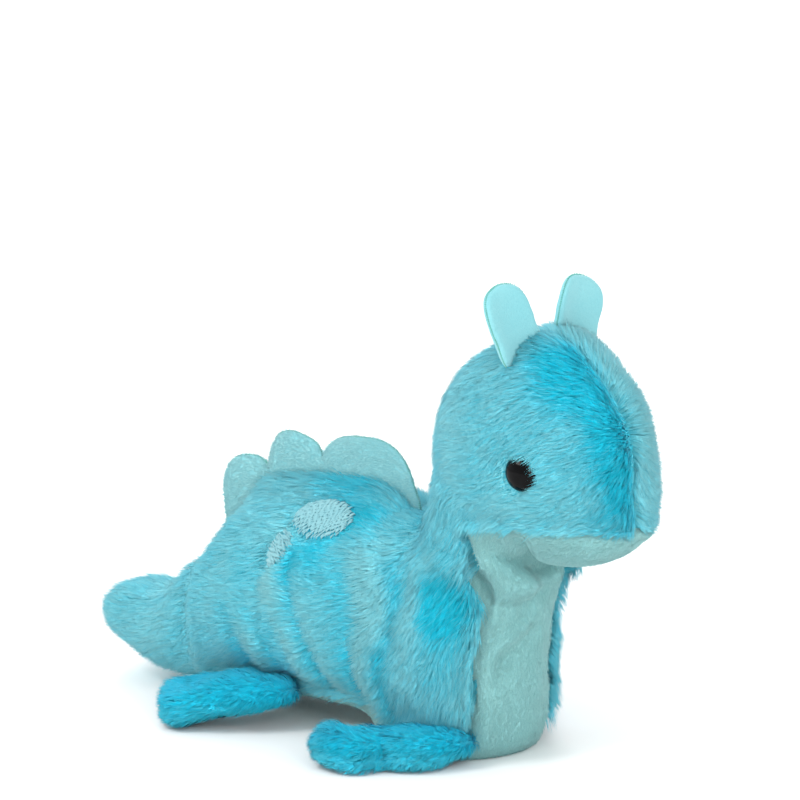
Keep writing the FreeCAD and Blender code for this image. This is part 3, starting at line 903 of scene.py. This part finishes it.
def make_flipper(kind, side, sign, rng):
    name = f"{kind}_flipper_{side}"
    hinge, axis = place_of(name + "_flap"), axis_of(name + "_flap")
    outwards = unit(np.cross(Z, axis))
    height = box_centre(name + "_upper")[2]
    nodes = [name + ending for ending in ("_upper", "_lower", "_fill")]
    # the root runs on under the skin of the body
    inside = hinge - outwards * 3.0 * MM - Z * 4.2 * MM
    roots = [ball(inside + axis * shift * MM, (7, 7, 3.2)) for shift in (4, -4)]
    points, faces = remeshed([node_shape(node) for node in nodes] + roots, FLIPPER_VOXEL)
    pairs = neighbour_pairs(faces)
    triangles = triangles_of(faces)
    points = relax(points, pairs, 10)
    normals = point_normals(points, triangles)
    upright = 1 - np.abs(normals[:, 2])
    out = (points - hinge) @ outwards
    along = (points - hinge) @ axis
    # notches that part the lobes, a seam round the rim and a wavy outline
    from_hinge = (points - hinge) * (1.0, 1.0, 0.0)
    way = unit(from_hinge[np.argmax((from_hinge ** 2).sum(1))])
    beside = np.cross(Z, way) * sign
    reach = from_hinge @ way
    share = reach / reach.max()
    across = from_hinge @ beside
    centre_line = np.median(across[share > 0.3])
    back, front = FLIPPER_NOTCHES[kind]
    notch = np.where(across > centre_line, back * bell(share - 0.67, 0.09), front * bell(share - 0.42, 0.13))
    points = points - np.outer((across - centre_line) * notch, beside)
    points = points - np.outer(FLIPPER_SHORTENING[kind] * np.maximum(reach, 0.0), way)
    push = -0.6 * MM + 0.5 * MM * noise(points, 8 * MM, 31)
    push = push - 0.9 * MM * bell(points[:, 2] - (height - 3.4 * MM), 1.2 * MM) * upright
    wave = np.sin((out / MM - 4.0) * 2 * np.pi / 13.0)
    push = push + 1.1 * MM * wave * upright * ease(out, 3 * MM, 9 * MM)
    points = points + normals * column(push)
    points[:, 2] += 1.2 * MM * np.sin(along / MM * 2 * np.pi / 26.0 + 1.0) * ease(out, 4 * MM, 14 * MM)
    points = relax(points, pairs, 2)
    points[:, 2] = np.maximum(points[:, 2], 1.0 * MM)
    normals = point_normals(points, triangles)
    skin = mesh_object(name + "_skin", points, faces, "under_fur", unit(normals + 0.9 * Z))

    def shade(places):
        reach = (places - hinge) @ way
        tone = 0.06 + 0.30 * ease(reach, 18 * MM, 32 * MM) + 0.15 * noise(places, 8 * MM, 33)
        # painted light: the pile low on the flipper is painted paler, against the shade that falls near the
        # floor
        return np.clip(tone + 0.3 * fade(places[:, 2], height - 4 * MM, height), 0.0, 1.0)

    fur = make_fur(name + "_fur", (points, normals, faces), FUR_DENSITY, lambda places: FLIPPER_FUR_LENGTH,
                   lambda places: unit(way - Z * 0.25), shade, "flipper_fur", rng, lift=0.45, stray=0.3,
                   skyward=1.1, keep=lambda places: ease(places[:, 2], 1.2 * MM, 2.4 * MM))
    bend = (("torso", name), span(hinge, outwards, 2, 6))
    finish(skin, *bend, "flipper_fur", nodes, 0.5)
    finish(fur, *bend, "flipper_fur")


# ---- crest and horns

def outline_curve(corners, steps):
    """A closed smooth line through the corners (Catmull-Rom)."""
    corners = np.array(corners, float)
    count = len(corners)
    out = []
    for index in range(count):
        p0, p1, p2, p3 = (corners[(index + shift) % count] for shift in (-1, 0, 1, 2))
        for step in range(steps):
            t = step / steps
            out.append(0.5 * (2 * p1 + (p2 - p0) * t + (2 * p0 - 5 * p1 + 4 * p2 - p3) * t * t
                              + (3 * p1 - p0 - 3 * p2 + p3) * t ** 3))
    return np.array(out)


def pillow(outline, thickness, rings=7, rim=0.35):
    """A padded flat form: rings from the rim to the middle, front and back; local x, y and height."""
    centre = outline.mean(0)
    count = len(outline)
    points, faces = [], []
    for sign in (1.0, -1.0):
        base = len(points)
        for step in range(rings):
            share = 1.0 - (step / rings) ** 1.4
            height = thickness / 2 * (rim + (1 - rim) * math.sqrt(max(0.0, 1 - share ** 4)))
            points.extend((*(centre + (place - centre) * share), sign * height) for place in outline)
        points.append((*centre, sign * thickness / 2))
        faces.extend(face if sign > 0 else face[::-1] for face in ring_faces(base, rings, count))
        last = len(points) - 1
        for step in range(count):
            a, b = last - count + step, last - count + (step + 1) % count
            faces.append((a, b, last) if sign > 0 else (b, a, last))
    second = rings * count + 1
    for step in range(count):
        a, b = step, (step + 1) % count
        faces.append((b, a, second + a, second + b))
    return np.array(points), faces


def stitch_row(name, path, inwards, facing, length, width, pitch):
    """Overlock stitches along an edge: short fat threads across the path, side by side."""
    points, faces = [], []
    steps = np.linalg.norm(np.diff(path, axis=0), axis=1)
    reach = np.concatenate(((0.0,), np.cumsum(steps)))
    count = max(2, int(reach[-1] / pitch))
    for number in range(count):
        at = (number + 0.5) / count * reach[-1]
        index = min(np.searchsorted(reach, at) - 1, len(steps) - 1)
        share = (at - reach[index]) / max(steps[index], 1e-9)
        place = path[index] * (1 - share) + path[index + 1] * share
        along = unit(path[index + 1] - path[index])
        long = length * (1.0 + 0.22 * math.sin(number * 2.7))
        rings = []
        for inner, height in ((-0.5, 0.2), (0.0, 1.0), (0.5, 1.0), (1.0, 0.15)):
            centre = place + inwards[index] * long * (inner * 0.7) + along * width * 0.35 * inner
            rings.append((centre, width * 0.5 * (0.35 + 0.65 * height)))
        first, last = add_tube(points, faces, rings, along, facing, 5)
        faces.append(tuple(range(first + 4, first - 1, -1)))
        faces.append(tuple(range(last - 4, last + 1)))
    return mesh_object(name, np.array(points), faces, "edge_thread")


def finish_trim(name, form, row, lay, seed, bend, stands_for, fill):
    """A cloth form with its stitched edge and its nap, as on the crest and the horns."""
    points, faces = form
    piece = mesh_object(name, points, faces, "crest_cloth")
    stitches = stitch_row(name + "_edge_stitches", *row)
    nap = make_nap(name + "_nap", (points, point_normals(points, triangles_of(faces)), faces),
                   lambda places: lay, "crest_nap", np.random.default_rng(seed))
    finish(piece, *bend, "crest_cloth", stands_for, fill)
    finish(stitches, *bend, "crest_cloth")
    finish(nap, *bend, "crest_cloth")


# the three scallops in x and z, in mm from the top front corner of the crest's own box; the foot
# is sunk in the fur
CREST_CORNERS = [
    (1.0, -17.2), (-0.3, -9.7), (-4.0, -4.0), (-10.0, -0.5), (-16.0, 0.0), (-22.5, -1.3), (-27.0, -3.8),
    (-28.8, -6.2), (-29.2, -7.3), (-29.8, -6.0), (-32.0, -3.6), (-37.5, -2.0), (-42.5, -3.6), (-45.4, -7.8),
    (-46.2, -11.2), (-46.7, -12.1), (-47.5, -11.4), (-50.5, -10.4), (-55.5, -11.2), (-59.2, -14.6),
    (-60.6, -20.0), (-59.8, -27.0), (-58.5, -33.0), (-53.0, -29.5), (-45.0, -23.5), (-37.0, -20.2),
    (-23.0, -17.8), (-11.0, -17.2),
]


def crest_sway(x, z):
    """The crest's soft upper part waves from side to side."""
    return 0.9 * MM * np.sin(x / MM * 2 * np.pi / 21.0) * ease(z, 56 * MM, 70 * MM)


def make_crest():
    corner = np.array(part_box("crest_left_layer")[1])[[0, 2]] / MM
    outline = outline_curve((np.array(CREST_CORNERS) + corner) * MM, 5)
    points, faces = crest_sheet(outline)
    x, y, z = points.T
    points[:, 1] = y + crest_sway(x, z) + 0.35 * MM * noise(points, 6 * MM, 41)
    x, z = outline[: int(len(outline) * CREST_EDGE_SHARE)].T
    edge = np.stack((x, crest_sway(x, z), z), 1)
    inwards = unit(np.cross(unit(np.gradient(edge, axis=0)), Y))
    middle = np.array((x.mean(), 0, 52 * MM))
    inwards = inwards * np.sign(((middle - edge) * inwards).sum(1, keepdims=True))
    up = upwards(unit(np.cross(axis_of("crest_flop"), Y)))
    finish_trim(
        "crest", (points, faces), (edge, inwards, Y, 0.9 * MM, 0.42 * MM, 0.50 * MM), -X, SEED + 2,
        (("torso", "crest"), span(place_of("crest_flop"), up, -2.5, 8)),
        ("crest_left_layer", "crest_right_layer"), 0.2,
    )


def crest_sheet(outline):
    """A closed thin form over the outline, filled evenly with small faces."""
    form = bmesh.new()
    form.faces.new([form.verts.new((place[0], 0.0, place[1])) for place in outline])
    bmesh.ops.triangulate(form, faces=form.faces[:])
    for _ in range(3):
        longest = [edge for edge in form.edges if edge.calc_length() > 1.6 * MM]
        bmesh.ops.subdivide_edges(form, edges=longest, cuts=1)
        bmesh.ops.triangulate(form, faces=form.faces[:])
    bmesh.ops.recalc_face_normals(form, faces=form.faces[:])
    form.verts.ensure_lookup_table()
    flat = np.array([vert.co for vert in form.verts])
    faces = [tuple(vert.index for vert in face.verts) for face in form.faces]
    rim = flat[np.array([vert.is_boundary for vert in form.verts])]
    form.free()
    distance = np.min(np.linalg.norm(flat[:, None, :] - rim[None, :, :], axis=2), axis=1)
    thick = 0.35 * MM + 0.85 * MM * ease(distance, 0.0, 2.6 * MM)
    count = len(flat)
    first, second, third = flat[list(faces[0])]
    flip = np.cross(second - first, third - first)[1] < 0
    front = [face[::-1] if flip else face for face in faces]
    back = [tuple(index + count for index in (face if flip else face[::-1])) for face in faces]
    sides = [pair for face in front for pair in zip(face, face[1:] + face[:1])]
    known = set(sides)
    rim_faces = [(b, a, a + count, b + count) for a, b in sides if (b, a) not in known]
    return np.concatenate((flat + np.outer(thick, Y), flat - np.outer(thick, Y))), front + back + rim_faces


CREST_EDGE_SHARE = 0.78        # how much of each outline shows its stitches
HORN_EDGE_SHARE = 0.85
HORN_LEAN = {"right": -0.22, "left": 0.02}       # backward lean of each horn, as it was sewn
HORN_SINK = {"right": 0.8 * MM, "left": 2.4 * MM}
HORN_WIDENING = {"right": 1.04, "left": 1.14}
HORN_CORNERS = [
    (-6.2, -4.5), (-6.6, 1.5), (-6.8, 5.6), (-6.1, 9.2), (-3.8, 11.6), (0.0, 12.4), (3.8, 11.6),
    (6.1, 9.2), (6.8, 5.6), (6.6, 1.5), (6.2, -4.5), (0.0, -5.2),
]


def make_horn(side):
    name = f"horn_{side}"
    foot, axis = place_of(name + "_flex"), axis_of(name + "_flex")
    up = upwards(unit(np.cross(X, axis)))
    foot = foot - up * HORN_SINK[side]
    outline = outline_curve(np.array(HORN_CORNERS) * MM * (HORN_WIDENING[side], 1.0), 6)
    local, faces = pillow(outline, 3.3 * MM)

    def placed(flat, height):
        """Puts flat places on the cupped, leaning horn."""
        cup = 1.3 * MM * (flat[:, 0] / (6 * MM)) ** 2 + HORN_LEAN[side] * flat[:, 1]
        return foot + np.outer(flat[:, 0], axis) + np.outer(flat[:, 1], up) + np.outer(height + cup, X)

    points = placed(local, local[:, 2])
    if np.cross(axis, up) @ X < 0:
        faces = [face[::-1] for face in faces]
    points = points + 0.18 * MM * unit(points - points.mean(0)) * column(noise(points, 2.5 * MM, 43))
    edge = placed(outline[: int(len(outline) * HORN_EDGE_SHARE)], 0.0)
    inwards = unit(foot + up * 6 * MM - edge)
    finish_trim(
        name, (points, faces), (edge, inwards, X, 1.0 * MM, 0.45 * MM, 0.52 * MM), up, SEED + 3,
        (("head", name), span(foot, up, 1.0, 5)), (name + "_front", name + "_back"), 0.6,
    )


# ---- eyes and embroidery

EYE_SINK = 0.9 * MM
EYE_RADIUS, EYE_HEIGHT = 4.6 * MM, 3.4 * MM


def make_eye(side, sign):
    """A domed button whose back edge curls under the pile."""
    node = "eye_" + side
    points, _ = node_shape(node)
    outwards = unit(np.array((0.14, sign, 0.03)))
    top = points[np.argmax(points @ outwards)] - outwards * EYE_SINK
    along = unit(np.cross(Z, outwards))
    steps, around = 14, 40
    rings = []
    for step in range(1, steps):
        angle = math.pi / 2 * (1 - step / (steps - 1))
        rings.append((EYE_RADIUS * math.cos(angle) ** 0.9, EYE_HEIGHT * (math.sin(angle) - 1.0)))
    # the curled edge, the flat back and the shank
    for radius, behind in ((EYE_RADIUS * 0.97, 0.5), (EYE_RADIUS * 0.5, 0.9), (1.5 * MM, 1.0), (1.5 * MM, 6.5)):
        rings.append((radius, -EYE_HEIGHT - behind * MM))
    dome = [top]
    faces = [(0, 1 + index, 1 + (index + 1) % around) for index in range(around)]
    rings = [(top + outwards * drop, radius) for radius, drop in rings]
    _, last = add_tube(dome, faces, rings, along, np.cross(outwards, along), around)
    faces.append(tuple(range(last - around + 1, last + 1)))
    piece = mesh_object(node + "_button", np.array(dome), faces, "eye")
    fix_normals(piece)
    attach(piece, "head")
    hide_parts(node)


def fix_normals(piece):
    form = bmesh.new()
    form.from_mesh(piece.data)
    bmesh.ops.recalc_face_normals(form, faces=form.faces[:])
    form.to_mesh(piece.data)
    form.free()


def surface_height(surface, places, outwards, reach):
    """How far along outwards the body's nearest points lie from each place, on average."""
    heights = []
    for place in places:
        rel = surface - place
        along = rel @ outwards
        side = np.linalg.norm(rel - np.outer(along, outwards), axis=1)
        near = (side < reach) & (along > -9 * MM)
        heights.append(along[near].mean() if near.any() else 0.0)
    return heights


STITCH_PITCH, STITCH_LONG, STITCH_WIDTH = 0.30 * MM, 1.8 * MM, 0.185 * MM
STITCH_TURN = math.radians(66.0)
# along a stitch: share of its length and rise in mm
STITCH_PROFILE = ((0.0, -0.10), (0.12, 0.22), (0.5, 0.36), (0.88, 0.22), (1.0, -0.10))


def make_spot(name, side, skin_points):
    """Satin fill: rows of slim raised threads, each a stitch long, that cover an oval."""
    centre, radii, along, across, outwards = spot_plan(name, side)
    thread = along * math.cos(STITCH_TURN) + across * math.sin(STITCH_TURN)
    row = np.cross(outwards, thread)
    rng = np.random.default_rng(SEED + 7)
    reach = radii[0] * 1.1
    row_count = int(reach / STITCH_PITCH)
    stitches = []
    for number in range(-row_count, row_count + 1):
        beside = number * STITCH_PITCH
        start = -reach + rng.uniform(0.0, STITCH_LONG) - STITCH_LONG
        while start < reach:
            end = start + STITCH_LONG
            line = np.array([row * beside + thread * at for at in (start, (start + end) / 2, end)])
            inside = (line @ along / radii[0]) ** 2 + (line @ across / radii[1]) ** 2 < 1.0
            if inside[1] or (inside[0] and inside[2]):
                stitches.append((beside, start, end))
            start = end
    near = skin_points[np.linalg.norm(skin_points - centre, axis=1) < 14 * MM]
    middles = [centre + row * beside + thread * (start + end) / 2 for beside, start, end in stitches]
    points, faces = [], []
    for (beside, start, end), height in zip(stitches, surface_height(near, middles, outwards, 1.4 * MM)):
        lean = rng.normal(0.0, 0.03) * MM
        rings = []
        for share, rise in STITCH_PROFILE:
            place = centre + row * (beside + lean) + thread * (start + (end - start) * share)
            rings.append((place + outwards * (height + (rise + 0.35) * MM), STITCH_WIDTH))
        add_tube(points, faces, rings, row, outwards, 6)
    piece = mesh_object(f"{name}_{side}_stitches", np.array(points), faces, "thread")
    fix_normals(piece)
    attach(piece, "torso")
    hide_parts(f"{name}_{side}")


# ---- studio

FLOOR_HALF = 40.0


def make_floor():
    MATERIALS["studio_floor"], tree, shader = new_material("studio_floor")
    colour_by(tree, shader, noise_texture(tree, 30.0), (0.3, (0.90, 0.90, 0.90)), (0.7, (0.93, 0.93, 0.93)))
    set_inputs(shader, Roughness=0.9)
    corners = np.array(((-1, -1, 0), (1, -1, 0), (1, 1, 0), (-1, 1, 0))) * FLOOR_HALF
    mesh_object("studio_floor", corners, [(0, 1, 2, 3)], "studio_floor")


def aim_along(thing, way):
    thing.rotation_euler = Vector(tuple(way)).to_track_quat("-Z", "Y").to_euler()


def add_area(name, place, size, power):
    """A white lamp that faces the middle of the toy."""
    light = bpy.data.lights.new(name, "AREA")
    light.size = size
    light.energy = power
    lamp = add_object(name, light)
    lamp.location = place
    aim_along(lamp, np.array((0, 0, 0.05)) - place)


def make_studio():
    make_floor()
    world = bpy.data.worlds.new("studio")
    bpy.context.scene.world = world
    world.use_nodes = True
    set_inputs(world.node_tree.nodes["Background"], Color=(1.0, 1.0, 1.0, 1.0), Strength=0.98)
    add_area("key", (-0.35, -0.75, 0.85), 0.45, 5.8)
    add_area("fill", (0.8, -0.5, 0.4), 0.6, 3.6)
    add_area("rim", (-0.5, 0.6, 0.6), 0.5, 3.4)
    bpy.context.scene.view_settings.view_transform = "Standard"


def make_camera():
    """The photo's view: a long lens, 40 degrees round to the right and 14 degrees up."""
    azimuth, elevation = math.radians(40.0), math.radians(14.0)
    level = math.cos(elevation)
    away = np.array((math.sin(azimuth) * level, -math.cos(azimuth) * level, math.sin(elevation)))
    aim = np.array((4.0, 3.3, 80.0)) * MM
    distance, field = 2.4, 0.192
    data = bpy.data.cameras.new("camera")
    data.sensor_width = 36.0
    data.lens = 36.0 * distance / field
    data.clip_start = 0.01
    camera = add_object("camera", data)
    camera.location = tuple(aim + away * distance)
    aim_along(camera, -away)
    bpy.context.scene.camera = camera


make_camera()
make_studio()
skin_points = dress_body()
flipper_rng = np.random.default_rng(SEED + 1)
for kind in FLIPPER_NOTCHES:
    for side, sign in SIDES:
        make_flipper(kind, side, sign, flipper_rng)
make_crest()
for side, sign in SIDES:
    make_horn(side)
    make_eye(side, sign)
    for spot in SPOTS:
        make_spot(spot, side, skin_points)
    washer = frame["nodes"]["eye_washer_" + side].data
    washer.materials.clear()
    washer.materials.append(MATERIALS["washer"])
